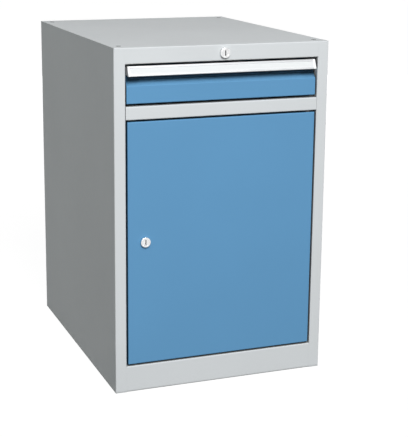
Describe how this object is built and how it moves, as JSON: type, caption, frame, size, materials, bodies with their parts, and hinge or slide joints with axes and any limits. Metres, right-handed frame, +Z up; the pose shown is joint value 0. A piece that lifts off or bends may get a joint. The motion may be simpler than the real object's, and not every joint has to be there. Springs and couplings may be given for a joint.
{
  "type": "hanging drawer unit",
  "caption": "Steel pedestal that hangs under a workbench, with a drawer on telescopic slides above a lockable cupboard with a shelf.",
  "frame": {"origin": "centre of the four hanging holes, on the top face", "axes": "+Z up, out of the top face into the worktop; +X to the right seen from the front; +Y to the back, so the front faces -Y"},
  "size_m": [0.39, 0.505, 0.6],
  "materials": {
    "grey_paint": "light grey powder coat, fine texture",
    "blue_paint": "light blue powder coat, fine texture",
    "zinc_steel": "bright zinc plated",
    "lock_chrome": "satin nickel plated",
    "handle_aluminium": "satin anodised",
    "label_white": "matt white card strip",
    "cap_plastic": "moulded, satin",
    "bush_nylon": "moulded nylon, black"
  },
  "bodies": {
    "cabinet": {"side_panel_left": "grey_paint", "side_panel_right": "grey_paint", "top_panel": "grey_paint", "bottom_panel": "grey_paint", "divider_shelf": "grey_paint", "back_panel": "grey_paint", "slide_bracket_left": "zinc_steel", "slide_bracket_right": "zinc_steel", "slide_outer_left": "zinc_steel", "slide_outer_right": "zinc_steel", "hinge_bush_top": "bush_nylon", "hinge_bush_bottom": "bush_nylon", "central_lock_housing": "lock_chrome", "central_lock_nut": "zinc_steel", "shelf": "grey_paint", "shelf_clips": "zinc_steel", "shelf_uprights": "zinc_steel"},
    "slide_middles": {"slide_middle_left": "zinc_steel", "slide_middle_right": "zinc_steel"},
    "drawer": {"drawer_tray": "blue_paint", "drawer_front": "blue_paint", "drawer_handle": "handle_aluminium", "label_strip": "label_white", "handle_cap_left": "cap_plastic", "handle_cap_right": "cap_plastic", "handle_screws": "zinc_steel", "slide_inner_left": "zinc_steel", "slide_inner_right": "zinc_steel"},
    "door": {"door_panel": "blue_paint", "door_stiffener": "blue_paint", "hinge_pin_top": "zinc_steel", "hinge_pin_bottom": "zinc_steel", "door_lock_housing": "lock_chrome", "door_lock_nut": "zinc_steel"},
    "central_plug": {"central_lock_plug": "lock_chrome", "central_lock_cam": "zinc_steel", "central_lock_screw": "zinc_steel"},
    "door_plug": {"door_lock_plug": "lock_chrome", "door_lock_cam": "zinc_steel", "door_lock_screw": "zinc_steel"}
  },
  "joints": [
    {"name": "drawer_slide", "type": "slide", "parent": "cabinet", "child": "drawer", "axis": [0, -1, 0], "range_m": [0, 0.4]},
    {"name": "slide_middle_travel", "type": "slide", "parent": "cabinet", "child": "slide_middles", "axis": [0, -1, 0], "range_m": [0, 0.2]},
    {"name": "door_hinge", "type": "hinge", "parent": "cabinet", "child": "door", "pos_m": [0.1599, -0.2435, -0.33675], "axis": [0, 0, 1], "range_deg": [0, 110]},
    {"name": "central_lock_turn", "type": "hinge", "parent": "cabinet", "child": "central_plug", "pos_m": [0, -0.25, -0.014], "axis": [0, -1, 0], "range_deg": [0, 90]},
    {"name": "door_lock_turn", "type": "hinge", "parent": "door", "child": "door_plug", "pos_m": [-0.1414, -0.25, -0.33125], "axis": [0, -1, 0], "range_deg": [0, 90]}
  ],
  "couplings": [
    {"joint": "slide_middle_travel", "follows": "drawer_slide", "ratio": 0.5}
  ]
}
